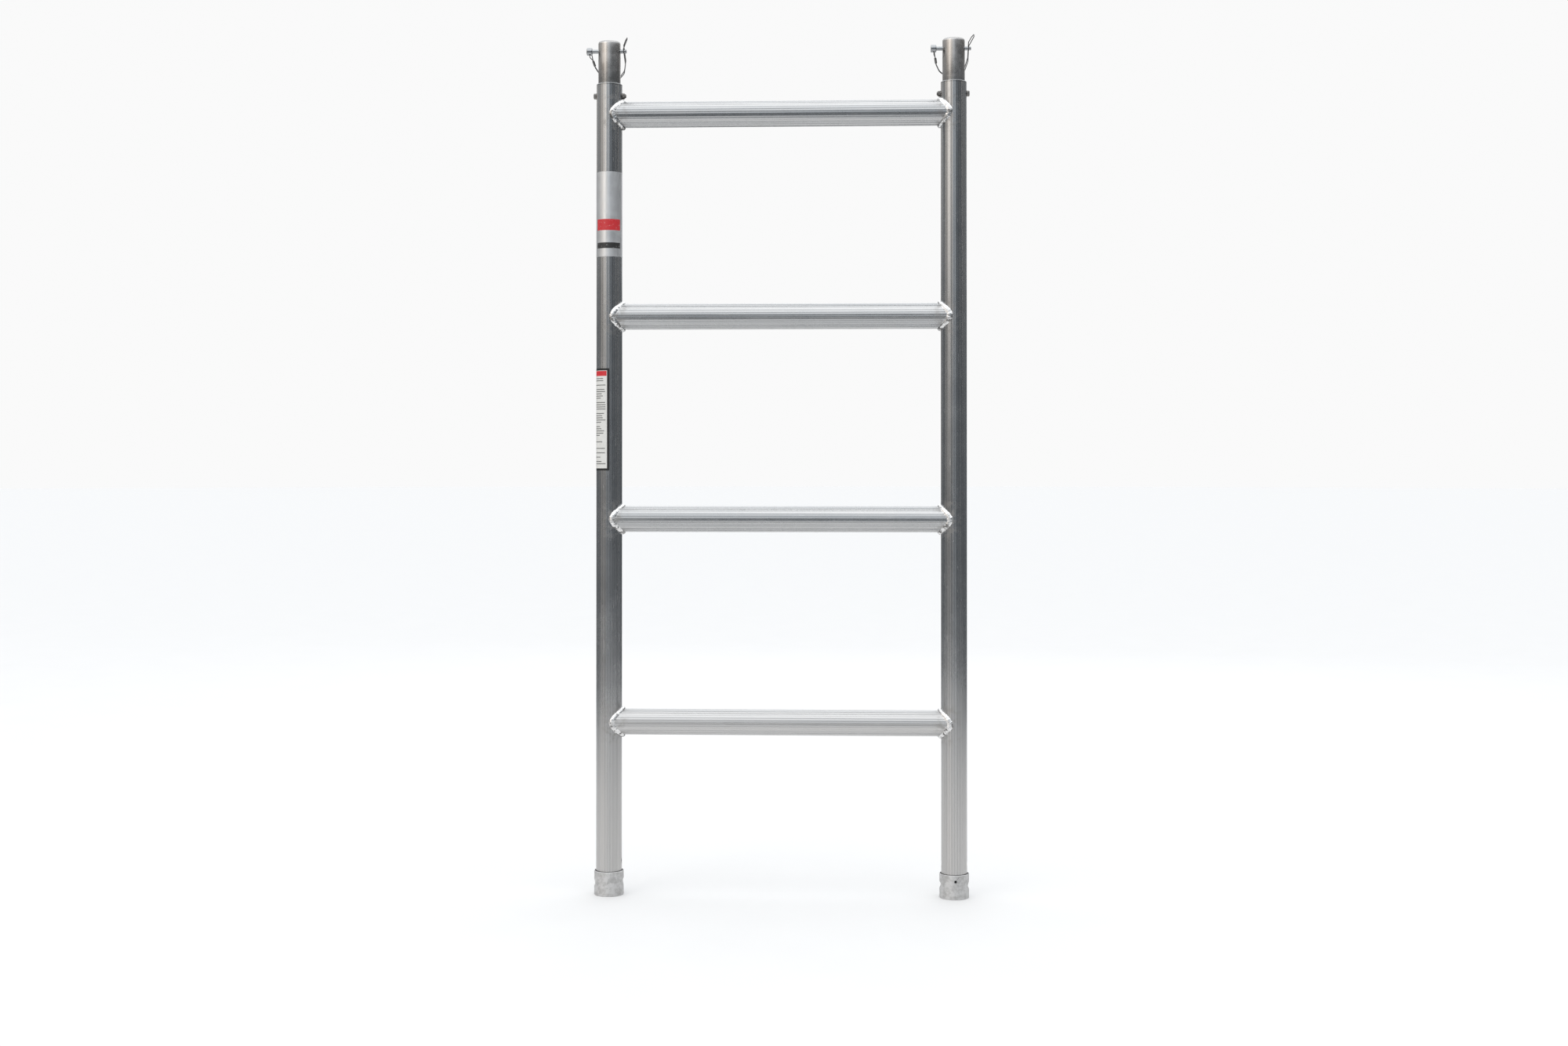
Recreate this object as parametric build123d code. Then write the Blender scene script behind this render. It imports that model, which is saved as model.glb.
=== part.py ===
from build123d import *
from math import cos, radians, sin
import os

# Narrow end frame of an aluminium tower: two stiles, four rungs, a spigot and a locking pin
# on each stile. Millimetres. The origin is midway between the stiles on the foot plane,
# +Z is up, X runs across the frame and -Y is the front.

# Stiles and rungs
STILE_SPACING = 680.0
FRAME_HEIGHT = 1600.0
TUBE_R = 25.4
STILE_BORE_R = 22.0
RUNG_BORE_R = 23.2
RUNG_HEIGHTS = (340.0, 740.0, 1140.0, 1540.0)
RUNG_END_TRIM = 1.5

# Fine grooves down the outside of every tube
FLUTES = 30
FLUTE_DEPTH = 0.35
FLUTE_WIDTH = 1.9
FLUTE_FLOOR = 0.9

# Foot end of a stile
SOCKET_R = 22.3
SOCKET_DEPTH = 95.0
PIN_HEIGHT = 66.0
FOOT_PIN_HOLE_R = 5.5
COLLAR_R = 29.0
COLLAR_HEIGHT = 47.5
COLLAR_MOUTH = 1.0
COLLAR_EDGE = 0.8
CRIMP_R = 11.0
CRIMP_DEPTH = 3.0
CRIMP_HEIGHT = 24.5
WITNESS_HOLE_R = 2.0
WITNESS_HOLE_HEIGHT = 35.5
WITNESS_HOLE_OFFSET = 1.5

# Spigot in the top of a stile
SPIGOT_R = 22.0
SPIGOT_NOSE_R = 21.6
SPIGOT_BORE_R = 17.0
SPIGOT_HELD = 85.0
SPIGOT_PROUD = 85.0
SPIGOT_BEARING = 50.0
SPIGOT_EDGE = 4.5
RELIEF_HALF_WIDTH = 0.6
SPIGOT_PIN_HOLE_R = 4.4
STILE_TOP_EDGE = 0.8

# Bolt that holds the spigot
BOLT_DROP = 23.0
BOLT_R = 3.0
BOLT_HOLE_R = 3.2
WASHER_R = 6.0
WASHER_THICK = 1.2
HEX_HALF_FLATS = 5.0
HEX_EDGE = 0.7
BOLT_HEAD = 4.5
NUT_HEX = 4.2
NUT_CROWN = 1.3
NUT_CROWN_R = 4.3
BOLT_TAIL = 1.2

# Weld bead round a rung end
BEAD_R = 5.0
BEAD_SINK = 3.0

# Locking pin, measured along its axis from the middle of the spigot
PIN_R = 4.0
PIN_TIP = 34.0
PIN_HEAD_R = 7.5
PIN_HEAD_FAR = -45.0
PIN_HEAD_NEAR = -34.0
PIN_HEAD_EDGE = 1.6
PIN_TIP_EDGE = 1.0
DETENT_AT = 28.6
DETENT_WIDTH = 2.4
DETENT_R = 3.4

# Spring-wire bail: u along the pin, v down and back round the spigot, w across the strands
BAIL_TILT = 55.0
WIRE_R = 0.9
EYE_AT = -39.0
EYE_HOLE_R = 0.98
STRAND_CORNERS = (
    ((-39.0, 0.0, 9.7), 1.6),
    ((-38.6, 7.0, 9.7), 4.0),
    ((-36.0, 22.0, 0.95), 8.0),
    ((-33.4, 42.0, 0.95), 24.0),
    ((-26.0, 61.5, 0.95), 24.0),
    ((-9.5, 76.5, 0.95), 20.0),
    ((11.0, 74.5, 2.0), 16.0),
    ((23.8, 56.0, 4.0), 20.0),
    ((29.0, 30.0, 5.4), 20.0),
    ((29.0, -11.0, 5.4), 3.5),
    ((34.2, -24.5, 5.2), 8.0),
    ((38.4, -33.5, 3.0), 2.2),
)
STRAND_END = (38.4, -33.5, 0.0)
FERRULE_FROM = (-35.3, 25.5)
FERRULE_TO = (-33.5, 38.5)
FERRULE_R = 2.3
FERRULE_EDGE = 0.5

# Labels on the left stile
LABEL_THICK = 0.25
FOIL_FROM = 1257.0
FOIL_TO = 1425.0
FOIL_START = 100.0
FOIL_SWEEP = 340.0
NOTICE_FROM = 836.0
NOTICE_TO = 1037.0
NOTICE_START = 91.0
NOTICE_SWEEP = 187.0

HALF_SPACING = STILE_SPACING / 2
SIDES = (("left", -1), ("right", 1))


def rod_x(radius, start, end, z=0.0):
    """A plain cylinder along X from start to end."""
    rod = Rot(0, 90, 0) * Cylinder(radius, end - start, align=(Align.CENTER, Align.CENTER, Align.MIN))
    return Pos(start, 0, z) * rod


def rod_z(radius, start, end):
    """A plain cylinder along Z from start to end."""
    return Pos(0, 0, start) * Cylinder(radius, end - start, align=(Align.CENTER, Align.CENTER, Align.MIN))


def turned(*outline):
    """A solid of revolution about Z from points given as (radius, height)."""
    section = make_face(Polyline(*[(r, 0, z) for r, z in outline], close=True))
    return revolve(section, Axis.Z)


def fluted_tube(length, bore_r):
    """A tube up from the origin with fine grooves down its outside."""
    groove = Polygon(
        (-FLUTE_DEPTH, -FLUTE_FLOOR / 2),
        (FLUTE_DEPTH, -FLUTE_WIDTH / 2),
        (FLUTE_DEPTH, FLUTE_WIDTH / 2),
        (-FLUTE_DEPTH, FLUTE_FLOOR / 2),
        align=None,
    )
    ring = Circle(TUBE_R) - Circle(bore_r)
    ring -= [place * groove for place in PolarLocations(TUBE_R, FLUTES, start_angle=180 / FLUTES)]
    return extrude(ring, length)


def stile():
    """One upright: fluted tube with a reamed socket at the foot and cross holes at both ends."""
    tube = fluted_tube(FRAME_HEIGHT, STILE_BORE_R)
    tube -= rod_z(SOCKET_R, 0, SOCKET_DEPTH)
    tube -= turned(
        (TUBE_R - STILE_TOP_EDGE, FRAME_HEIGHT),
        (TUBE_R + 1, FRAME_HEIGHT),
        (TUBE_R + 1, FRAME_HEIGHT - STILE_TOP_EDGE - 1),
    )
    tube -= rod_x(FOOT_PIN_HOLE_R, -TUBE_R - 1, TUBE_R + 1, PIN_HEIGHT)
    tube -= rod_x(BOLT_HOLE_R, -TUBE_R - 1, TUBE_R + 1, FRAME_HEIGHT - BOLT_DROP)
    return tube


def rung(height):
    """One cross tube with both ends coped to sit round the stiles."""
    reach = HALF_SPACING - RUNG_END_TRIM
    tube = Pos(-reach, 0, height) * Rot(0, 90, 0) * fluted_tube(2 * reach, RUNG_BORE_R)
    for _, sign in SIDES:
        tube -= Pos(sign * HALF_SPACING, 0, 0) * rod_z(TUBE_R, height - 2 * TUBE_R, height + 2 * TUBE_R)
    return tube


def bead_half(height, up):
    """A weld run along the upper (up = 1) or lower (up = -1) half of a left-hand saddle."""
    slope = Plane(origin=(0, 0, height), x_dir=(0, 1, 0), z_dir=(up, 0, -1))
    line = slope * EllipticalCenterArc((0, 0), TUBE_R - BEAD_SINK, TUBE_R * 2**0.5, arc_size=180)
    return sweep(Plane(origin=line @ 0, z_dir=line % 0) * Circle(BEAD_R), path=line)


def weld(height, side):
    """The bead round one end of a rung, sitting on both tubes."""
    depth = TUBE_R - BEAD_SINK
    bead = bead_half(height, 1) + bead_half(height, -1)
    for y in (-depth, depth):
        bead += Pos(0, y, height) * Sphere(BEAD_R)
    bead -= rod_z(TUBE_R, height - 3 * TUBE_R, height + 3 * TUBE_R)
    bead -= rod_x(TUBE_R, 0, 4 * TUBE_R, height)
    if side > 0:
        bead = mirror(bead, about=Plane.YZ)
    return Pos(side * HALF_SPACING, 0, 0) * bead


def foot_collar():
    """Reinforcing sleeve round the foot, crimped with a notch across each side."""
    sleeve = turned(
        (TUBE_R, 0),
        (COLLAR_R - COLLAR_EDGE, 0),
        (COLLAR_R, COLLAR_EDGE),
        (COLLAR_R, COLLAR_HEIGHT - COLLAR_EDGE),
        (COLLAR_R - COLLAR_EDGE, COLLAR_HEIGHT),
        (TUBE_R + COLLAR_MOUTH, COLLAR_HEIGHT),
        (TUBE_R, COLLAR_HEIGHT - 2 * COLLAR_MOUTH),
    )
    for _, sign in SIDES:
        reach = sign * (COLLAR_R - CRIMP_DEPTH + CRIMP_R)
        sleeve -= Pos(reach, 0, CRIMP_HEIGHT) * Rot(90, 0, 0) * Cylinder(CRIMP_R, 2 * COLLAR_R)
    return sleeve


def witness_hole():
    """Small drilling through the front of the right-hand collar."""
    drill = Rot(90, 0, 0) * Cylinder(WITNESS_HOLE_R, COLLAR_R, align=(Align.CENTER, Align.CENTER, Align.MIN))
    return Pos(WITNESS_HOLE_OFFSET, -TUBE_R / 2, WITNESS_HOLE_HEIGHT) * drill


def spigot():
    """Tubular peg: held stretch in the stile, relief groove, bearing stretch, slimmer nose."""
    rim = FRAME_HEIGHT
    top = rim + SPIGOT_PROUD
    peg = turned(
        (SPIGOT_BORE_R, rim - SPIGOT_HELD),
        (SPIGOT_R - 1, rim - SPIGOT_HELD),
        (SPIGOT_R, rim - SPIGOT_HELD + 1),
        (SPIGOT_R, rim - RELIEF_HALF_WIDTH),
        (SPIGOT_NOSE_R, rim - RELIEF_HALF_WIDTH),
        (SPIGOT_NOSE_R, rim + RELIEF_HALF_WIDTH),
        (SPIGOT_R, rim + RELIEF_HALF_WIDTH),
        (SPIGOT_R, rim + SPIGOT_BEARING),
        (SPIGOT_NOSE_R, rim + SPIGOT_BEARING + 1),
        (SPIGOT_NOSE_R, top),
        (SPIGOT_BORE_R, top),
    )
    lip = peg.edges().filter_by(GeomType.CIRCLE).sort_by(Axis.Z)[-2:].sort_by(SortBy.RADIUS)[-1]
    peg = fillet(lip, SPIGOT_EDGE)
    peg -= rod_x(SPIGOT_PIN_HOLE_R, -SPIGOT_R - 1, SPIGOT_R + 1, rim + PIN_HEIGHT)
    peg -= rod_x(BOLT_HOLE_R, -SPIGOT_R - 1, SPIGOT_R + 1, rim - BOLT_DROP)
    return peg


def hexagon_block(start, height):
    """Hexagonal block along X with its outer corners turned off."""
    corner = HEX_HALF_FLATS / cos(radians(30))
    block = extrude(RegularPolygon(HEX_HALF_FLATS, 6, major_radius=False), height)
    block &= turned(
        (0, 0),
        (corner, 0),
        (corner, height - HEX_EDGE),
        (corner - 2 * HEX_EDGE, height),
        (0, height),
    )
    return Pos(start, 0, 0) * Rot(0, 90, 0) * block


def spigot_bolt():
    """Hexagon bolt through stile and spigot, head on the outside at -X."""
    seat = TUBE_R + WASHER_THICK
    head = mirror(hexagon_block(seat, BOLT_HEAD), about=Plane.YZ)
    end = seat + NUT_HEX + NUT_CROWN + BOLT_TAIL
    return Pos(0, 0, FRAME_HEIGHT - BOLT_DROP) * (head + rod_x(BOLT_R, -seat - 1, end))


def spigot_nut():
    """Locking nut with a round crown, on the inside at +X."""
    seat = TUBE_R + WASHER_THICK
    nut = hexagon_block(seat, NUT_HEX) + rod_x(NUT_CROWN_R, seat + NUT_HEX - 1, seat + NUT_HEX + NUT_CROWN)
    nut -= rod_x(BOLT_R, seat - 1, seat + NUT_HEX + NUT_CROWN + 1)
    return Pos(0, 0, FRAME_HEIGHT - BOLT_DROP) * nut


def washer(side):
    """Plain washer under the bolt head (side = -1) or the nut (side = 1)."""
    ring = rod_x(WASHER_R, TUBE_R, TUBE_R + WASHER_THICK) - rod_x(BOLT_HOLE_R, 0, 2 * TUBE_R)
    if side < 0:
        ring = mirror(ring, about=Plane.YZ)
    return Pos(0, 0, FRAME_HEIGHT - BOLT_DROP) * ring


def bail_plane():
    """The tilted plane the bail lies in, centred where the pin crosses the spigot."""
    tilt = radians(BAIL_TILT)
    return Plane(origin=(0, 0, FRAME_HEIGHT + PIN_HEIGHT), x_dir=(1, 0, 0), z_dir=(0, cos(tilt), sin(tilt)))


def locking_pin():
    """Round-headed pin with a cross hole for the bail and a groove near its tip."""
    shank = rod_x(PIN_R, PIN_HEAD_NEAR - 1, PIN_TIP)
    shank = chamfer(shank.edges().filter_by(GeomType.CIRCLE).sort_by(Axis.X)[-1], PIN_TIP_EDGE)
    half = DETENT_WIDTH / 2
    shank -= rod_x(PIN_R + 1, DETENT_AT - half, DETENT_AT + half) - rod_x(DETENT_R, 0, PIN_TIP)
    head = rod_x(PIN_HEAD_R, PIN_HEAD_FAR, PIN_HEAD_NEAR)
    head = fillet(head.edges().filter_by(GeomType.CIRCLE), PIN_HEAD_EDGE)
    eye = Pos(EYE_AT, 0, 0) * Cylinder(EYE_HOLE_R, 3 * PIN_HEAD_R)
    return Pos(0, 0, FRAME_HEIGHT + PIN_HEIGHT) * (shank + head) - bail_plane() * eye


def bail():
    """Closed loop of spring wire: through the pin head, round the spigot, over the pin's tip."""
    start = Vector(EYE_AT, 0, 0)
    corners = [corner for corner, _ in STRAND_CORNERS]
    radii = [radius for _, radius in STRAND_CORNERS]
    line = FilletPolyline(start, *corners, STRAND_END, radius=radii)
    strand = sweep(Plane(origin=start) * Circle(WIRE_R), path=line)
    return bail_plane() * (strand + mirror(strand, about=Plane.XY))


def ferrule(wire):
    """Crimped sleeve that closes the two strands together below the pin's head."""
    low = Vector(*FERRULE_FROM, 0)
    high = Vector(*FERRULE_TO, 0)
    axis = Plane(origin=low, z_dir=high - low)
    sleeve = Cylinder(FERRULE_R, (high - low).length, align=(Align.CENTER, Align.CENTER, Align.MIN))
    sleeve = chamfer(sleeve.edges().filter_by(GeomType.CIRCLE), FERRULE_EDGE)
    return bail_plane() * (axis * sleeve) - wire


def wrapped_label(bottom, top, start, sweep_angle):
    """Thin film wrapped round the outside of a stile."""
    strip = make_face(
        Polyline(
            (TUBE_R, 0, bottom),
            (TUBE_R + LABEL_THICK, 0, bottom),
            (TUBE_R + LABEL_THICK, 0, top),
            (TUBE_R, 0, top),
            close=True,
        )
    )
    return Rot(0, 0, start) * revolve(strip, Axis.Z, revolution_arc=sweep_angle)


def side_parts(side, sign):
    """Every piece that belongs to one stile."""
    across = Pos(sign * HALF_SPACING, 0, 0)
    collar = foot_collar()
    if sign > 0:
        collar -= witness_hole()
    wire = bail()
    fixing = {
        f"{side}_spigot_bolt": spigot_bolt(),
        f"{side}_spigot_nut": spigot_nut(),
        f"{side}_bolt_head_washer": washer(-1),
        f"{side}_nut_washer": washer(1),
    }
    if sign > 0:
        fixing = {name: mirror(solid, about=Plane.YZ) for name, solid in fixing.items()}
    pieces = {
        f"{side}_stile": stile(),
        f"{side}_foot_collar": collar,
        f"{side}_spigot": spigot(),
        f"{side}_locking_pin": locking_pin(),
        f"{side}_bail": wire,
        f"{side}_bail_ferrule": ferrule(wire),
        **fixing,
    }
    return {name: across * solid for name, solid in pieces.items()}


def rung_parts(number, height):
    """One rung and the weld at each of its ends."""
    pieces = {f"rung_{number}": rung(height)}
    for side, sign in SIDES:
        pieces[f"rung_{number}_{side}_weld"] = weld(height, sign)
    return pieces


def label_parts():
    """The two labels on the left stile."""
    across = Pos(-HALF_SPACING, 0, 0)
    return {
        "foil_wrap_label": across * wrapped_label(FOIL_FROM, FOIL_TO, FOIL_START, FOIL_SWEEP),
        "notice_label": across * wrapped_label(NOTICE_FROM, NOTICE_TO, NOTICE_START, NOTICE_SWEEP),
    }


def main():
    """Build every piece and write one STEP file for each."""
    os.makedirs("parts", exist_ok=True)
    pieces = {}
    for side, sign in SIDES:
        pieces.update(side_parts(side, sign))
    for number, height in enumerate(RUNG_HEIGHTS, start=1):
        pieces.update(rung_parts(number, height))
    pieces.update(label_parts())
    for name, solid in pieces.items():
        export_step(solid, f"parts/{name}.step")


main()
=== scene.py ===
"""Looks for the aluminium tower end frame: camera, studio, materials, weld beads and spigots."""

from math import cos, hypot, pi, radians, sin
import bmesh
import bpy
from mathutils import Euler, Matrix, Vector, noise

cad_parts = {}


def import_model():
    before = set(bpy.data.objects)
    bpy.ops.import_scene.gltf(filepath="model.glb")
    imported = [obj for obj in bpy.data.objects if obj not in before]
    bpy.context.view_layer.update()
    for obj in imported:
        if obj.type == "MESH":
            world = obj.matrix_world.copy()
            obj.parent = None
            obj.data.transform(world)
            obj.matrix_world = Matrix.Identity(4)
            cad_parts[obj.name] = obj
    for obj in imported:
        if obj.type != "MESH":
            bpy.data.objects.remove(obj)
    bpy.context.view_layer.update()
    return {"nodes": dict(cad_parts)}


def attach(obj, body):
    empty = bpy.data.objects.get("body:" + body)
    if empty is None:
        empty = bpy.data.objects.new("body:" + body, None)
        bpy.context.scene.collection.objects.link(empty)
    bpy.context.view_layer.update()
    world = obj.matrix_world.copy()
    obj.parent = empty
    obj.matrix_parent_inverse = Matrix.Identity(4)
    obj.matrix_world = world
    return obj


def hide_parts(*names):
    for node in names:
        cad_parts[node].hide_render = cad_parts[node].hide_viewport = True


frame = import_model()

# Camera, metres and degrees
CAMERA_PLACE = (0.170, -3.80, 0.855)
CAMERA_PITCH = 0.435
CAMERA_YAW = 2.47
CAMERA_LENS = 44.3
CAMERA_SENSOR = 36.0
CAMERA_SHIFT = -0.049

# The frame, metres: the same sizes as the CAD
STILE_X = 0.340
TUBE_R = 0.0254
RUNG_HEIGHTS = (0.340, 0.740, 1.140, 1.540)
FLUTES = 30
STILE_TOP = 1.600
COLLAR_TOP = 0.0475
WITNESS_X = 0.3415
WITNESS_HEIGHT = 0.0355
SPIGOT_R = 0.0220
SPIGOT_BORE_R = 0.0170
SPIGOT_LOW = 1.515
SPIGOT_HIGH = 1.685
SPIGOT_EDGE = 0.0045
CROSS_HOLES = ((1.666, 0.0044), (1.577, 0.0032))
SPIGOT_STEPS = 128
LIP_STEPS = 8
DRILL_STEPS = 40
SMOOTH_BELOW = 35

# Weld beads
BEAD_R = 0.0050
BEAD_WIDER = 0.0024
BEAD_DEPTH = 0.0224
BEAD_TIP = 0.0095
BEAD_RIPPLES = 76
STEPS_PER_RIPPLE = 6
BEAD_SIDES = 18
BEAD_FLOOR = 0.0003

# Haze round a weld, metres: above or below the rung's axis, then along the rung from the stile's
STAIN_FULL = 0.022
STAIN_GONE = 0.048
STAIN_MIDDLE = 0.014
STAIN_SIDE_FULL = 0.008
STAIN_SIDE_GONE = 0.034

# Labels: heights in metres, turns in degrees round the left stile from the front
FOIL_LOW = 1.257
FOIL_HIGH = 1.425
FOIL_RED = (1.309, 1.331)
FOIL_BLACK = (1.2735, 1.2850)
FOIL_TURNS = (-62, 58)
NOTICE_LOW = 0.836
NOTICE_HIGH = 1.037
NOTICE_BORDER = 0.0042
NOTICE_PAPER_TURNS = (2.6, 169.0)
NOTICE_HEADER_TURNS = (4.4, 166.0)
RULE_PITCH = 0.0043
RULE_START = 0.018
RULE_SHARE_LEFT_OUT = 0.30
RULE_BEGINS = (7.0, 40.0)
RULE_ENDS = (158.0, 159.5)
BAR_RED = (0.50, 0.022, 0.028, 1.0)
HEADER_RED = (0.55, 0.022, 0.03, 1.0)
PAPER_AGED = (0.60, 0.59, 0.56, 1.0)
PAPER_CLEAN = (0.70, 0.70, 0.68, 1.0)

# Studio, metres and brightness
BACKDROP = 0.955
CEILING = 1.5
FLOOR_NEAR = 2.6
FLOOR_FAR = 60.0
FLOOR_MIDDLE = 0.1
RING_STEPS = 96


# ---------------------------------------------------------------- node helpers


def put(tree, kind, inputs=None, **settings):
    """Adds one shader node. Inputs may be plain values or the outputs of other nodes."""
    made = tree.nodes.new(kind)
    for key, value in settings.items():
        setattr(made, key, value)
    for key, value in (inputs or {}).items():
        if isinstance(value, bpy.types.NodeSocket):
            tree.links.new(value, made.inputs[key])
        else:
            made.inputs[key].default_value = value
    return made


def math(tree, operation, first, second=0.0, clamp=False):
    """The output of one Math node."""
    made = put(tree, "ShaderNodeMath", {0: first, 1: second}, operation=operation, use_clamp=clamp)
    return made.outputs[0]


def ramp_between(tree, value, low, high, out_low=0.0, out_high=1.0):
    """Smooth change from out_low at low to out_high at high."""
    made = put(
        tree,
        "ShaderNodeMapRange",
        {"Value": value, "From Min": low, "From Max": high, "To Min": out_low, "To Max": out_high},
        interpolation_type="SMOOTHSTEP",
    )
    return made.outputs["Result"]


def band(tree, value, low, high, soft):
    """One between low and high, nothing outside, with soft ends."""
    rise = ramp_between(tree, value, low - soft, low + soft)
    fall = ramp_between(tree, value, high - soft, high + soft, 1.0, 0.0)
    return math(tree, "MULTIPLY", rise, fall)


def blend(tree, amount, first, second):
    """Colour mix: first where amount is 0, second where it is 1."""
    made = tree.nodes.new("ShaderNodeMix")
    made.data_type = "RGBA"
    for socket, value in ((made.inputs[0], amount), (made.inputs[6], first), (made.inputs[7], second)):
        if isinstance(value, bpy.types.NodeSocket):
            tree.links.new(value, socket)
        else:
            socket.default_value = value
    return made.outputs[2]


def cloud(tree, place, scale, stretch=(1, 1, 1), detail=3.0, roughness=0.55):
    """Noise from 0 to 1, stretched along the axes whose stretch is below one."""
    spread = put(tree, "ShaderNodeMapping", {"Vector": place, "Scale": stretch})
    made = put(
        tree,
        "ShaderNodeTexNoise",
        {"Vector": spread.outputs[0], "Scale": scale, "Detail": detail, "Roughness": roughness},
    )
    return made.outputs["Fac"]


def bump(tree, height, strength, distance, below=None):
    """A bumped normal, laid over the one below it."""
    inputs = {"Height": height, "Strength": strength, "Distance": distance}
    if below is not None:
        inputs["Normal"] = below
    return put(tree, "ShaderNodeBump", inputs).outputs[0]


def grey(level, warmth=0.0):
    """A grey of this brightness, redder where warmth is above nothing and bluer below."""
    return (level * (1 + warmth), level, level * (1 - warmth), 1.0)


def length_of(tree, first, second):
    """Length of the vector with these two parts."""
    flat = put(tree, "ShaderNodeCombineXYZ", {"X": first, "Y": second}).outputs[0]
    return put(tree, "ShaderNodeVectorMath", {0: flat}, operation="LENGTH").outputs["Value"]


def start_material(name):
    """A new material with its node tree, shader and object coordinates in metres."""
    material = bpy.data.materials.new(name)
    material.use_nodes = True
    tree = material.node_tree
    shader = tree.nodes["Principled BSDF"]
    place = tree.nodes.new("ShaderNodeTexCoord").outputs["Object"]
    return material, tree, shader, place


def join(tree, shader, colour, roughness, normal):
    """Links the three looks that every material here drives."""
    for key, socket in (("Base Color", colour), ("Roughness", roughness), ("Normal", normal)):
        tree.links.new(socket, shader.inputs[key])


def linked_object(name, mesh):
    """Turns a bmesh into an object of the scene and frees it."""
    data = bpy.data.meshes.new(name)
    mesh.to_mesh(data)
    mesh.free()
    made = bpy.data.objects.new(name, data)
    bpy.context.scene.collection.objects.link(made)
    return made


# ---------------------------------------------------------------- materials


def weld_stain(tree, place, split):
    """Grey-brown haze on the tubes round the welded joints, from 0 to about 1."""
    reach = None
    for height in RUNG_HEIGHTS:
        above = math(tree, "ABSOLUTE", math(tree, "SUBTRACT", split.outputs["Z"], height))
        near = ramp_between(tree, above, STAIN_FULL, STAIN_GONE, 1.0, 0.0)
        reach = near if reach is None else math(tree, "MAXIMUM", reach, near)
    inward = math(tree, "SUBTRACT", STILE_X, math(tree, "ABSOLUTE", split.outputs["X"]))
    side = math(tree, "ABSOLUTE", math(tree, "SUBTRACT", inward, STAIN_MIDDLE))
    sideways = ramp_between(tree, side, STAIN_SIDE_FULL, STAIN_SIDE_GONE, 1.0, 0.0)
    reach = math(tree, "MULTIPLY", reach, sideways)
    patches = ramp_between(tree, cloud(tree, place, 90.0, detail=4.0), 0.42, 0.68)
    return math(tree, "MULTIPLY", reach, patches)


def from_nearest_rung(tree, split):
    """Height above or below the nearest rung's axis."""
    spacing = RUNG_HEIGHTS[1] - RUNG_HEIGHTS[0]
    above = math(tree, "SUBTRACT", split.outputs["Z"], RUNG_HEIGHTS[0])
    row = math(tree, "ROUND", math(tree, "DIVIDE", above, spacing))
    return math(tree, "SUBTRACT", above, math(tree, "MULTIPLY", row, spacing))


def flutes(tree, split, along_z):
    """Groove floors as a mask for their painted shade, and the rounded ribs between them as a height."""
    if along_z:
        across = math(tree, "SUBTRACT", math(tree, "ABSOLUTE", split.outputs["X"]), STILE_X)
    else:
        across = from_nearest_rung(tree, split)
    radius = length_of(tree, across, split.outputs["Y"])
    floors = ramp_between(tree, radius, TUBE_R - 0.00028, TUBE_R - 0.00003, 1.0, 0.0)
    turn = math(tree, "ARCTAN2", split.outputs["Y"], across)
    ribs = math(tree, "COSINE", math(tree, "MULTIPLY", turn, float(FLUTES)))
    return floors, ribs


def tube_colour(tree, split, level, warmth, masks, along_z):
    """Oxide clouds, dark streaks of painted reflection, a lighter foot, scuffs, specks, weld haze,
    painted shade in the groove floors; on the stile also painted shade inside the collar and a painted
    shadow line under the top rim.
    """
    colour = blend(tree, masks["oxide"], grey(level * 0.90, warmth), grey(level * 1.10, warmth))
    # Painted reflection: dark lengthwise streaks stand in for the flutes' changing reflections.
    streaks = ramp_between(tree, masks["broad"], 0.38, 0.66)
    layers = (
        (streaks, 0.50, grey(level * 0.58, warmth - 0.05)),
        (masks["near_foot"], 0.60, grey(level * 1.25, 0.030)),
        (masks["scuffs"], 0.28, grey(level * 1.3)),
        (masks["specks"], 0.60, grey(0.10, 0.04)),
        (masks["stain"], 0.50, grey(0.24, 0.08)),
    )
    for mask, strength, tone in layers:
        colour = blend(tree, math(tree, "MULTIPLY", mask, strength), colour, tone)
    # Painted shade: the groove floors are darkened, less so near the foot.
    groove_shade_depth = math(tree, "SUBTRACT", 0.18, math(tree, "MULTIPLY", masks["near_foot"], 0.10))
    lines = math(tree, "MULTIPLY", masks["floors"], groove_shade_depth)
    colour = blend(tree, lines, colour, grey(level * 0.42, 0.02))
    if along_z:
        # Painted shade: the stile inside the foot collar is painted near-black.
        socket_shade = ramp_between(tree, split.outputs["Z"], COLLAR_TOP, COLLAR_TOP - 0.0020)
        colour = blend(tree, socket_shade, colour, grey(0.012))
        # Painted shadow: a dark line on the stile just under its top rim.
        rim_shadow_line = band(tree, split.outputs["Z"], STILE_TOP - 0.0030, STILE_TOP - 0.0018, 0.0005)
        colour = blend(tree, math(tree, "MULTIPLY", rim_shadow_line, 0.60), colour, grey(0.12))
    return colour


def tube_dullness(tree, roughness, lines, masks):
    """Roughness: duller with oxide, towards the foot, with scuffs, weld haze and die lines."""
    dull = math(tree, "MULTIPLY_ADD", masks["oxide"], 0.16)
    dull.node.inputs[2].default_value = roughness - 0.08
    for name, strength in (("near_foot", 0.12), ("scuffs", 0.10), ("stain", 0.18)):
        dull = math(tree, "ADD", dull, math(tree, "MULTIPLY", masks[name], strength))
    return math(tree, "ADD", dull, math(tree, "MULTIPLY", lines, 0.10), clamp=True)


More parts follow.
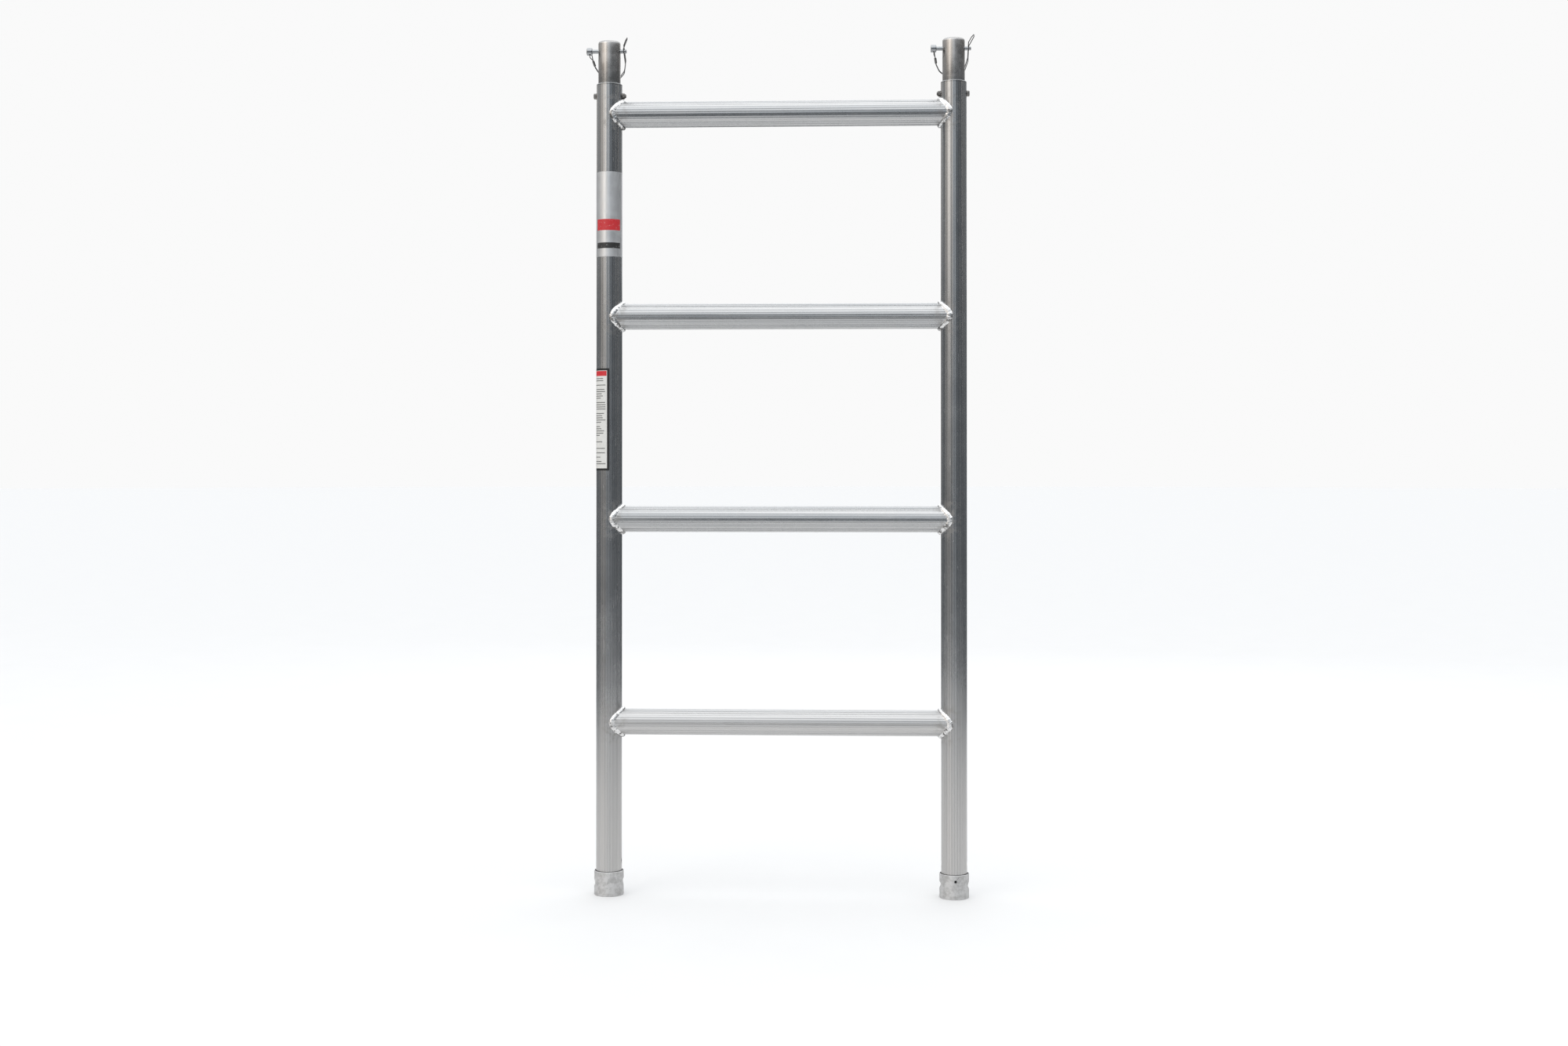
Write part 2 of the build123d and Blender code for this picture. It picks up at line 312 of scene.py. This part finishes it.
def extruded(name, along_z, level, warmth, roughness):
    """Mill-finish extruded tube: die lines along it, dull oxide clouds, scuffs and weld haze."""
    material, tree, shader, place = start_material(name)
    split = put(tree, "ShaderNodeSeparateXYZ", {0: place})
    lengthwise = (1, 1, 0.004) if along_z else (0.004, 1, 1)
    scuffing = (1, 1, 0.12) if along_z else (0.12, 1, 1)
    lines = cloud(tree, place, 900.0, lengthwise, detail=2.0)
    floors, ribs = flutes(tree, split, along_z)
    masks = {
        "broad": cloud(tree, place, 230.0, lengthwise, detail=2.5),
        "oxide": cloud(tree, place, 14.0, detail=5.0, roughness=0.62),
        "scuffs": ramp_between(tree, cloud(tree, place, 260.0, scuffing, detail=3.0), 0.64, 0.74),
        "specks": ramp_between(tree, cloud(tree, place, 420.0, detail=2.0), 0.76, 0.80),
        # Lighter, warmer and duller towards the foot, with fainter groove shade there.
        "near_foot": ramp_between(tree, split.outputs["Z"], 0.62, 0.10),
        "stain": weld_stain(tree, place, split),
        "floors": floors,
    }
    normal = bump(tree, ribs, 0.60, 0.00013)
    normal = bump(tree, lines, 0.25, 0.00006, normal)
    normal = bump(tree, masks["broad"], 0.40, 0.0003, normal)
    shader.inputs["Metallic"].default_value = 1.0
    colour = tube_colour(tree, split, level, warmth, masks, along_z)
    join(tree, shader, colour, tube_dullness(tree, roughness, lines, masks), normal)
    return material


def weld_metal():
    """Freshly frozen weld: bright, pitted, with dark flecks of soot in its valleys."""
    material, tree, shader, place = start_material("weld_metal_look")
    pits = cloud(tree, place, 520.0, detail=3.0)
    patches = cloud(tree, place, 130.0, detail=4.0)
    split = put(tree, "ShaderNodeSeparateXYZ", {0: place})
    # Darker towards the underside: more of the dark flecks fall below the rung's axis.
    under = ramp_between(tree, from_nearest_rung(tree, split), 0.004, -0.014)
    fleck_level = math(tree, "ADD", patches, math(tree, "MULTIPLY", under, 0.10))
    soot = ramp_between(tree, fleck_level, 0.58, 0.68)
    colour = blend(tree, patches, grey(0.86), grey(0.56, 0.02))
    colour = blend(tree, math(tree, "MULTIPLY", soot, 0.80), colour, grey(0.09, 0.05))
    dull = ramp_between(tree, patches, 0.35, 0.72, 0.16, 0.46)
    normal = bump(tree, pits, 0.50, 0.0004)
    shader.inputs["Metallic"].default_value = 1.0
    join(tree, shader, colour, dull, normal)
    return material


def hole_smudge(tree, split):
    """Dirt round the small hole in the right-hand collar and a scratch up from it."""
    from_hole = math(tree, "SUBTRACT", split.outputs["X"], WITNESS_X)
    rise = math(tree, "SUBTRACT", split.outputs["Z"], WITNESS_HEIGHT)
    spot = ramp_between(tree, length_of(tree, from_hole, rise), 0.0020, 0.0038, 1.0, 0.0)
    slant = math(tree, "SUBTRACT", math(tree, "MULTIPLY", from_hole, 1.3), rise)
    width = band(tree, slant, -0.0006, 0.0006, 0.0004)
    scratch = math(tree, "MULTIPLY", width, band(tree, rise, 0, 0.009, 0.001))
    front = math(tree, "LESS_THAN", split.outputs["Y"], 0.0)
    mark = math(tree, "MAXIMUM", spot, math(tree, "MULTIPLY", scratch, 0.7))
    return math(tree, "MULTIPLY", mark, front)


def collar_metal():
    """Dull mottled collar: rough blotched skin, bright rubbed foot and a dirty joint at its mouth."""
    material, tree, shader, place = start_material("foot_collar_look")
    split = put(tree, "ShaderNodeSeparateXYZ", {0: place})
    across = math(tree, "SUBTRACT", math(tree, "ABSOLUTE", split.outputs["X"]), STILE_X)
    radius = length_of(tree, across, split.outputs["Y"])
    blotches = cloud(tree, place, 95.0, detail=5.0, roughness=0.65)
    skin = cloud(tree, place, 420.0, detail=4.0)
    flecks = ramp_between(tree, cloud(tree, place, 330.0, detail=2.0), 0.70, 0.76)
    mouth_ring = ramp_between(tree, radius, 0.0272, 0.0280, 1.0, 0.0)
    mouth = math(tree, "MULTIPLY", mouth_ring, ramp_between(tree, split.outputs["Z"], 0.043, 0.045))
    rubbed = ramp_between(tree, split.outputs["Z"], 0.0035, 0.0)
    mark = hole_smudge(tree, split)
    colour = blend(tree, ramp_between(tree, blotches, 0.36, 0.64), grey(0.45, 0.012), grey(0.64, 0.006))
    colour = blend(tree, math(tree, "MULTIPLY", flecks, 0.6), colour, grey(0.16))
    colour = blend(tree, math(tree, "MULTIPLY", rubbed, 0.5), colour, grey(0.78))
    colour = blend(tree, math(tree, "MULTIPLY", mark, 0.85), colour, grey(0.06))
    colour = blend(tree, math(tree, "MULTIPLY", mouth, 0.94), colour, grey(0.03, 0.05))
    dull = ramp_between(tree, blotches, 0.30, 0.70, 0.42, 0.62)
    normal = bump(tree, skin, 0.45, 0.0006)
    normal = bump(tree, blotches, 0.35, 0.0012, normal)
    shader.inputs["Metallic"].default_value = 1.0
    join(tree, shader, colour, dull, normal)
    return material


def spigot_metal():
    """Drawn satin tube with a painted highlight under its lip and at its base, painted shade on its
    rounded top, and faint rings where frames slide over it.
    """
    material, tree, shader, place = start_material("spigot_tube_look")
    split = put(tree, "ShaderNodeSeparateXYZ", {0: place})
    hair = cloud(tree, place, 1500.0, (1, 1, 0.03), detail=2.0)
    rings = cloud(tree, place, 700.0, (0.02, 0.02, 1), detail=3.0)
    tarnish = cloud(tree, place, 38.0, detail=5.0, roughness=0.6)
    scored = ramp_between(tree, cloud(tree, place, 240.0, (1, 1, 0.08), detail=3.0), 0.62, 0.72)
    height = split.outputs["Z"]
    # Painted highlights: a bright band just under the rounded lip and one at the base above the stile's
    # rim.
    lip_highlight = band(tree, height, SPIGOT_HIGH - 0.0052, SPIGOT_HIGH - 0.0042, 0.0004)
    # Painted shade: the rounded top of the lip is darkened.
    lip_shade = ramp_between(tree, height, SPIGOT_HIGH - 0.0040, SPIGOT_HIGH - 0.0025)
    base_highlight = band(tree, height, STILE_TOP, STILE_TOP + 0.0020, 0.0005)
    # bright holds both painted highlights.
    bright = math(tree, "MAXIMUM", lip_highlight, base_highlight)
    colour = blend(tree, ramp_between(tree, tarnish, 0.3, 0.7), grey(0.38, 0.04), grey(0.54, 0.03))
    colour = blend(tree, math(tree, "MULTIPLY", rings, 0.22), colour, grey(0.36, 0.03))
    colour = blend(tree, math(tree, "MULTIPLY", scored, 0.30), colour, grey(0.78))
    colour = blend(tree, math(tree, "MULTIPLY", lip_shade, 0.55), colour, grey(0.30))
    colour = blend(tree, math(tree, "MULTIPLY", bright, 0.70), colour, grey(0.86))
    dull = ramp_between(tree, tarnish, 0.30, 0.70, 0.22, 0.33)
    normal = bump(tree, hair, 0.45, 0.00008)
    normal = bump(tree, rings, 0.20, 0.00012, normal)
    shader.inputs["Metallic"].default_value = 1.0
    join(tree, shader, colour, dull, normal)
    return material


def plated(name, level, warmth, smooth, rough, speck_level, bumpiness):
    """Small plated steel parts: clouded plating with specks and shallow dents."""
    material, tree, shader, place = start_material(name)
    clouds = cloud(tree, place, 240.0, detail=4.0)
    specks = ramp_between(tree, cloud(tree, place, 900.0, detail=2.0), 0.66, 0.74)
    dents = cloud(tree, place, 600.0, detail=2.0)
    colour = blend(tree, clouds, grey(level * 0.72, warmth), grey(level * 1.22, warmth))
    colour = blend(tree, math(tree, "MULTIPLY", specks, 0.6), colour, grey(speck_level, 0.06))
    dull = ramp_between(tree, clouds, 0.3, 0.7, smooth, rough)
    shader.inputs["Metallic"].default_value = 1.0
    join(tree, shader, colour, dull, bump(tree, dents, bumpiness, 0.0002))
    return material


def crimped_ferrule():
    """Dark crimp sleeve with pressed rings."""
    material, tree, shader, place = start_material("crimp_ferrule_look")
    rings = put(
        tree,
        "ShaderNodeTexWave",
        {"Vector": place, "Scale": 260.0, "Distortion": 1.0, "Detail": 1.0},
        bands_direction="Z",
    ).outputs["Fac"]
    grime = cloud(tree, place, 500.0, detail=3.0)
    colour = blend(tree, grime, grey(0.07), grey(0.24, 0.03))
    dull = ramp_between(tree, grime, 0.3, 0.7, 0.35, 0.6)
    shader.inputs["Metallic"].default_value = 1.0
    join(tree, shader, colour, dull, bump(tree, rings, 0.6, 0.0003))
    return material


def round_the_stile(tree, split):
    """Degrees round the left stile, from 0 at the front to 180 at the back on the outer side."""
    outward = math(tree, "SUBTRACT", math(tree, "MULTIPLY", split.outputs["X"], -1.0), STILE_X)
    forward = math(tree, "MULTIPLY", split.outputs["Y"], -1.0)
    return math(tree, "MULTIPLY", math(tree, "ARCTAN2", outward, forward), 180.0 / pi)


def foil_label():
    """Silver film wrap with two plain bars of colour, creased and rubbed at its edges."""
    material, tree, shader, place = start_material("foil_label_look")
    split = put(tree, "ShaderNodeSeparateXYZ", {0: place})
    turn = round_the_stile(tree, split)
    height = split.outputs["Z"]
    width = band(tree, turn, *FOIL_TURNS, 0.8)
    red = math(tree, "MULTIPLY", band(tree, height, *FOIL_RED, 0.0004), width)
    black = math(tree, "MULTIPLY", band(tree, height, *FOIL_BLACK, 0.0004), width)
    streaks = cloud(tree, place, 500.0, (1, 1, 0.02), detail=2.0)
    haze = cloud(tree, place, 45.0, detail=4.0)
    worn = ramp_between(tree, cloud(tree, place, 380.0, detail=3.0), 0.64, 0.70)
    silver = blend(tree, haze, grey(0.62, -0.01), grey(0.76, -0.01))
    silver = blend(tree, math(tree, "MULTIPLY", streaks, 0.16), silver, grey(0.45))
    kept = math(tree, "SUBTRACT", 1.0, math(tree, "MULTIPLY", worn, 0.55))
    colour = blend(tree, math(tree, "MULTIPLY", red, kept), silver, BAR_RED)
    colour = blend(tree, math(tree, "MULTIPLY", black, kept), colour, grey(0.025))
    low_edge = ramp_between(tree, height, FOIL_LOW + 0.0014, FOIL_LOW)
    high_edge = ramp_between(tree, height, FOIL_HIGH - 0.0014, FOIL_HIGH)
    edge = math(tree, "MAXIMUM", low_edge, high_edge)
    colour = blend(tree, math(tree, "MULTIPLY", edge, 0.45), colour, grey(0.30))
    inked = math(tree, "MAXIMUM", red, black, clamp=True)
    metal = math(tree, "SUBTRACT", 0.80, math(tree, "MULTIPLY", inked, 0.80), clamp=True)
    tree.links.new(metal, shader.inputs["Metallic"])
    dull = ramp_between(tree, haze, 0.3, 0.7, 0.28, 0.42)
    creases = cloud(tree, place, 120.0, (1, 1, 0.3), detail=4.0)
    join(tree, shader, colour, dull, bump(tree, creases, 0.25, 0.0004))
    return material


def notice_rules(tree, height, turn):
    """Grey ruled lines, each a little shorter or longer, in place of a notice's paragraphs."""
    row = math(tree, "DIVIDE", math(tree, "SUBTRACT", NOTICE_HIGH - RULE_START, height), RULE_PITCH)
    number = math(tree, "FLOOR", row)
    part = math(tree, "FRACT", row)
    line = band(tree, part, 0.28, 0.66, 0.08)
    number_place = put(tree, "ShaderNodeCombineXYZ", {"X": number}).outputs[0]
    random = put(tree, "ShaderNodeTexWhiteNoise", {"Vector": number_place}).outputs["Value"]
    length = ramp_between(tree, random, RULE_SHARE_LEFT_OUT, 1.0, *RULE_BEGINS)
    begin = math(tree, "GREATER_THAN", turn, length)
    begin = math(tree, "MULTIPLY", begin, math(tree, "GREATER_THAN", random, RULE_SHARE_LEFT_OUT))
    stop = ramp_between(tree, turn, *RULE_ENDS, 1.0, 0.0)
    inside = math(tree, "MULTIPLY", begin, stop)
    panel = band(tree, height, NOTICE_LOW + 0.012, NOTICE_HIGH - 0.019, 0.0005)
    return math(tree, "MULTIPLY", math(tree, "MULTIPLY", line, inside), panel)


def printed_label():
    """White notice with a black border, a red header block and plain ruled lines."""
    material, tree, shader, place = start_material("printed_label_look")
    split = put(tree, "ShaderNodeSeparateXYZ", {0: place})
    turn = round_the_stile(tree, split)
    height = split.outputs["Z"]
    inside = math(
        tree,
        "MULTIPLY",
        band(tree, height, NOTICE_LOW + NOTICE_BORDER, NOTICE_HIGH - NOTICE_BORDER, 0.0003),
        band(tree, turn, *NOTICE_PAPER_TURNS, 0.5),
    )
    header = band(tree, height, NOTICE_HIGH - 0.0150, NOTICE_HIGH - 0.0050, 0.0004)
    header_side = band(tree, turn, *NOTICE_HEADER_TURNS, 0.5)
    rules = notice_rules(tree, height, turn)
    yellowing = cloud(tree, place, 40.0, detail=4.0)
    grime = ramp_between(tree, cloud(tree, place, 300.0, detail=3.0), 0.60, 0.72)
    paper = blend(tree, yellowing, PAPER_AGED, PAPER_CLEAN)
    paper = blend(tree, math(tree, "MULTIPLY", grime, 0.25), paper, grey(0.42, 0.04))
    colour = blend(tree, math(tree, "MULTIPLY", rules, 0.90), paper, grey(0.06))
    red = math(tree, "MULTIPLY", header, header_side)
    colour = blend(tree, red, colour, HEADER_RED)
    colour = blend(tree, inside, grey(0.016), colour)
    dull = ramp_between(tree, yellowing, 0.3, 0.7, 0.28, 0.42)
    creases = cloud(tree, place, 150.0, (1, 1, 0.4), detail=3.0)
    join(tree, shader, colour, dull, bump(tree, creases, 0.20, 0.0003))
    return material


def floor_material():
    """Pale matt studio floor."""
    material, tree, shader, place = start_material("studio_floor_look")
    mottle = cloud(tree, place, 6.0, detail=5.0)
    colour = blend(tree, mottle, grey(0.70, 0.008), grey(0.73, 0.008))
    dull = ramp_between(tree, mottle, 0.3, 0.7, 0.7, 0.8)
    join(tree, shader, colour, dull, bump(tree, mottle, 0.1, 0.001))
    return material


def dress_nodes():
    """Gives every CAD node the material of its own kind. Rungs match no ending and get their own."""
    weld = weld_metal()
    spigot = spigot_metal()
    zinc = plated("zinc_fixing_look", 0.20, 0.05, 0.30, 0.48, 0.05, 0.30)
    rung = extruded("rung_tube_look", False, 0.50, 0.002, 0.22)
    kinds = (
        ("_stile", extruded("stile_tube_look", True, 0.47, -0.006, 0.19)),
        ("_weld", weld),
        ("_foot_collar", collar_metal()),
        ("_spigot", spigot),
        ("_spigot_bolt", zinc),
        ("_spigot_nut", zinc),
        ("_washer", zinc),
        ("_locking_pin", plated("plated_pin_look", 0.36, -0.02, 0.08, 0.16, 0.10, 0.12)),
        ("_bail", plated("spring_wire_look", 0.15, 0.01, 0.28, 0.42, 0.05, 0.25)),
        ("_ferrule", crimped_ferrule()),
        ("foil_wrap_label", foil_label()),
        ("notice_label", printed_label()),
    )
    for name, node in frame["nodes"].items():
        look = rung
        for ending, material in kinds:
            if name.endswith(ending):
                look = material
        for slot in node.material_slots:
            slot.material = look
    return weld, spigot


# ---------------------------------------------------------------- weld beads


def bead_centre(turn, height, inward):
    """Middle of the bead at an angle round the rung, where the two equal tubes meet."""
    across = hypot(TUBE_R * sin(turn), BEAD_TIP)
    return Vector((inward * across, -BEAD_DEPTH * cos(turn), height + TUBE_R * sin(turn)))


def bead_growth(turn, swing, seed):
    """How far the bead swells: crescent ripples with sharp valleys, and uneven lumps."""
    wander = noise.noise(Vector((3 * cos(turn), 3 * sin(turn), seed)))
    phase = BEAD_RIPPLES * turn / (2 * pi) + 0.60 * cos(swing) + 1.5 * wander
    ripple = abs(sin(pi * phase))
    lumps = noise.noise(Vector((7 * cos(turn), 7 * sin(turn), seed + 2 * cos(swing))))
    return 0.93 + 0.045 * ripple + 0.07 * wander + 0.10 * lumps


def outside_tubes(point, height):
    """Moves a point out of the bores, so the bead shows only on the outside of both tubes."""
    x, y, z = point
    least = TUBE_R - BEAD_FLOOR
    from_stile = hypot(x, y)
    if from_stile < least:
        x *= least / from_stile
        y *= least / from_stile
    from_rung = hypot(y, z - height)
    if from_rung < least:
        y *= least / from_rung
        z = height + (z - height) * least / from_rung
    return Vector((x, y, z))


def bead_row(turn, height, side, seed):
    """Points round the bead's section at one angle round the rung."""
    inward = -side
    centre = bead_centre(turn, height, inward)
    ahead = (bead_centre(turn + 0.01, height, inward) - centre).normalized()
    off_stile = Vector((centre.x, centre.y, 0)).normalized()
    off_rung = Vector((0, centre.y, centre.z - height)).normalized()
    out = (off_stile + off_rung).normalized()
    out = (out - ahead * out.dot(ahead)).normalized()
    beside = ahead.cross(out)
    width = BEAD_R + BEAD_WIDER * cos(turn) ** 2
    row = []
    for corner in range(BEAD_SIDES):
        swing = 2 * pi * corner / BEAD_SIDES
        growth = bead_growth(turn, swing, seed)
        point = centre + growth * (BEAD_R * cos(swing) * out + width * sin(swing) * beside)
        row.append(outside_tubes(point, height) + Vector((side * STILE_X, 0, 0)))
    return row


def weld_bead(node, height, side, seed, material):
    """One rippled bead all the way round a rung end. It stands for the smooth CAD bead."""
    mesh = bmesh.new()
    steps = BEAD_RIPPLES * STEPS_PER_RIPPLE
    rows = []
    for step in range(steps):
        points = bead_row(2 * pi * step / steps, height, side, seed)
        rows.append([mesh.verts.new(point) for point in points])
    for row, following in zip(rows, rows[1:] + rows[:1]):
        for corner in range(BEAD_SIDES):
            beyond = (corner + 1) % BEAD_SIDES
            mesh.faces.new((row[corner], following[corner], following[beyond], row[beyond]))
    bmesh.ops.recalc_face_normals(mesh, faces=mesh.faces)
    for face in mesh.faces:
        face.smooth = True
    bead = linked_object(node + "_bead", mesh)
    bead.data.materials.append(material)
    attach(bead, "frame")
    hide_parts(node)


def weld_beads(material):
    """A bead at both ends of every rung."""
    for index, height in enumerate(RUNG_HEIGHTS, start=1):
        for name, side in (("left", -1), ("right", 1)):
            weld_bead(f"rung_{index}_{name}_weld", height, side, index * 7.3 + side, material)


# ---------------------------------------------------------------- spigots


def spigot_profile():
    """Radius and height up the outside of the peg, round its lip and down its bore."""
    held = SPIGOT_R - 0.0001
    profile = [
        (SPIGOT_R - 0.001, SPIGOT_LOW),
        (held, SPIGOT_LOW + 0.001),
        (held, STILE_TOP - 0.0002),
        (SPIGOT_R, STILE_TOP + 0.0002),
    ]
    for step in range(LIP_STEPS + 1):
        turn = radians(90 * step / LIP_STEPS)
        radius = SPIGOT_R - SPIGOT_EDGE * (1 - cos(turn))
        profile.append((radius, SPIGOT_HIGH - SPIGOT_EDGE * (1 - sin(turn))))
    profile.append((SPIGOT_BORE_R, SPIGOT_HIGH - 0.0005))
    profile.append((SPIGOT_BORE_R, SPIGOT_LOW))
    return profile


def spun(name, profile, steps):
    """A closed solid made by turning the profile about the upright axis."""
    mesh = bmesh.new()
    rings = []
    for radius, height in profile:
        ring = []
        for step in range(steps):
            angle = 2 * pi * step / steps
            ring.append(mesh.verts.new((radius * cos(angle), radius * sin(angle), height)))
        rings.append(ring)
    for ring, following in zip(rings, rings[1:] + rings[:1]):
        for step in range(steps):
            beyond = (step + 1) % steps
            mesh.faces.new((ring[step], ring[beyond], following[beyond], following[step]))
    bmesh.ops.recalc_face_normals(mesh, faces=mesh.faces)
    return linked_object(name, mesh)


def cross_drill(name, height, radius):
    """A round cutter straight through the peg from side to side."""
    mesh = bmesh.new()
    place = Euler((0, pi / 2, 0)).to_matrix().to_4x4()
    bmesh.ops.create_cone(
        mesh,
        cap_ends=True,
        segments=DRILL_STEPS,
        radius1=radius,
        radius2=radius,
        depth=3 * SPIGOT_R,
        matrix=place,
    )
    bmesh.ops.translate(mesh, verts=mesh.verts, vec=(0, 0, height))
    return linked_object(name, mesh)


def spigot_tube(name, side, material):
    """The peg as one smooth drawn tube with its two cross holes."""
    tube = spun(name + "_tube", spigot_profile(), SPIGOT_STEPS)
    drills = []
    for height, radius in CROSS_HOLES:
        drill = cross_drill("drill", height, radius)
        drills.append(drill)
        cutting = tube.modifiers.new("hole", "BOOLEAN")
        cutting.operation = "DIFFERENCE"
        cutting.object = drill
    bpy.context.view_layer.update()
    graph = bpy.context.evaluated_depsgraph_get()
    data = bpy.data.meshes.new_from_object(tube.evaluated_get(graph))
    tube.modifiers.clear()
    tube.data = data
    for drill in drills:
        bpy.data.objects.remove(drill)
    for vertex in data.vertices:
        vertex.co.x += side * STILE_X
    data.shade_smooth()
    data.set_sharp_from_angle(angle=radians(SMOOTH_BELOW))
    data.materials.clear()
    data.materials.append(material)
    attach(tube, "frame")
    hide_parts(name)


# ---------------------------------------------------------------- studio


def disc(name, inner, outer, material):
    """Flat ring of floor, with its middle filled where inner is no more than FLOOR_MIDDLE."""
    mesh = bmesh.new()
    low, high = [], []
    for radius, circle in ((inner, low), (outer, high)):
        for step in range(RING_STEPS):
            angle = 2 * pi * step / RING_STEPS
            circle.append(mesh.verts.new((radius * cos(angle), radius * sin(angle), 0)))
    for step in range(RING_STEPS):
        beyond = (step + 1) % RING_STEPS
        mesh.faces.new((low[step], high[step], high[beyond], low[beyond]))
    if inner <= FLOOR_MIDDLE:
        mesh.faces.new(low)
    bmesh.ops.recalc_face_normals(mesh, faces=mesh.faces)
    made = linked_object(name, mesh)
    made.data.materials.append(material)
    return made


def floor():
    """A near floor that the metal reflects, and a far one that only carries it to the horizon."""
    material = floor_material()
    disc("floor_near", FLOOR_MIDDLE, FLOOR_NEAR, material)
    far = disc("floor_far", FLOOR_NEAR, FLOOR_FAR, material)
    far.visible_glossy = False


def soft_light(name, place, aim, size, power, colour):
    """One rectangular area light, aimed at a point."""
    data = bpy.data.lights.new(name, "AREA")
    data.shape = "RECTANGLE"
    data.size, data.size_y = size
    data.energy = power
    data.color = colour
    lamp = bpy.data.objects.new(name, data)
    bpy.context.scene.collection.objects.link(lamp)
    lamp.location = place
    lamp.rotation_euler = (Vector(aim) - Vector(place)).to_track_quat("-Z", "Y").to_euler()


def lights():
    """Soft light from above, from the front left and from behind."""
    soft_light("overhead", (0, -0.4, 4.6), (0, 0, 0.6), (4.5, 3.5), 22, (1.0, 0.995, 0.985))
    soft_light("front_left", (-3.0, -3.6, 2.6), (0, 0, 1.0), (1.6, 2.4), 10, (1.0, 0.965, 0.92))
    soft_light("back", (0.6, 4.0, 2.6), (0, 0, 0.9), (3.6, 2.2), 14, (0.97, 0.985, 1.0))


def studio_tone(tree, azimuth):
    """Brightness of the studio round the frame, by azimuth: 0 behind, 0.5 in front."""
    made = put(tree, "ShaderNodeValToRGB", {"Fac": azimuth})
    ramp = made.color_ramp
    tones = (
        (0.00, grey(0.40)),
        (0.14, grey(0.50)),
        (0.25, grey(0.52, 0.03)),
        (0.33, grey(1.20, 0.10)),
        (0.40, grey(1.38, 0.10)),
        (0.455, grey(0.95, 0.02)),
        (0.495, grey(1.10, -0.08)),
        (0.54, grey(0.36, -0.10)),
        (0.61, grey(0.10, -0.10)),
        (0.66, grey(0.17, -0.08)),
        (0.72, grey(0.16, -0.05)),
        (0.83, grey(0.20)),
        (0.92, grey(0.36)),
        (1.00, grey(0.40)),
    )
    ramp.elements[0].position, ramp.elements[0].color = tones[0]
    ramp.elements[1].position, ramp.elements[1].color = tones[-1]
    for place, tone in tones[1:-1]:
        ramp.elements.new(place).color = tone
    return made.outputs["Color"]


def world():
    """Bright ceiling, darker walls and a dim horizon for the metal to reflect; plain white to the eye."""
    made = bpy.data.worlds.new("studio")
    made.use_nodes = True
    bpy.context.scene.world = made
    tree = made.node_tree
    toward = put(tree, "ShaderNodeTexCoord").outputs["Generated"]
    split = put(tree, "ShaderNodeSeparateXYZ", {0: toward})
    front = math(tree, "MULTIPLY", split.outputs["Y"], -1.0)
    angle = math(tree, "ARCTAN2", split.outputs["X"], front)
    azimuth = math(tree, "MULTIPLY_ADD", angle, 0.5 / pi)
    azimuth.node.inputs[2].default_value = 0.5
    up = split.outputs["Z"]
    walls = studio_tone(tree, azimuth)
    low = blend(tree, 0.13, grey(0.165, -0.08), walls)
    tone = blend(tree, ramp_between(tree, up, 0.05, 0.20), low, walls)
    tone = blend(tree, ramp_between(tree, up, 0.24, 0.55), tone, grey(CEILING, -0.025))
    seen = put(tree, "ShaderNodeLightPath").outputs["Is Camera Ray"]
    tone = blend(tree, seen, tone, grey(BACKDROP))
    background = tree.nodes["Background"]
    tree.links.new(tone, background.inputs["Color"])
    background.inputs["Strength"].default_value = 1.0


def camera():
    """The camera that sees the frame as the reference view does."""
    data = bpy.data.cameras.new("camera")
    data.sensor_width = CAMERA_SENSOR
    data.lens = CAMERA_LENS
    data.shift_y = CAMERA_SHIFT
    data.clip_end = 200.0
    made = bpy.data.objects.new("camera", data)
    bpy.context.scene.collection.objects.link(made)
    made.location = CAMERA_PLACE
    made.rotation_euler = Euler((radians(90 + CAMERA_PITCH), 0, radians(CAMERA_YAW)))
    bpy.context.scene.camera = made


camera()
world()
lights()
floor()
weld_look, spigot_look = dress_nodes()
weld_beads(weld_look)
spigot_tube("left_spigot", -1, spigot_look)
spigot_tube("right_spigot", 1, spigot_look)
bpy.context.scene.view_settings.view_transform = "Standard"
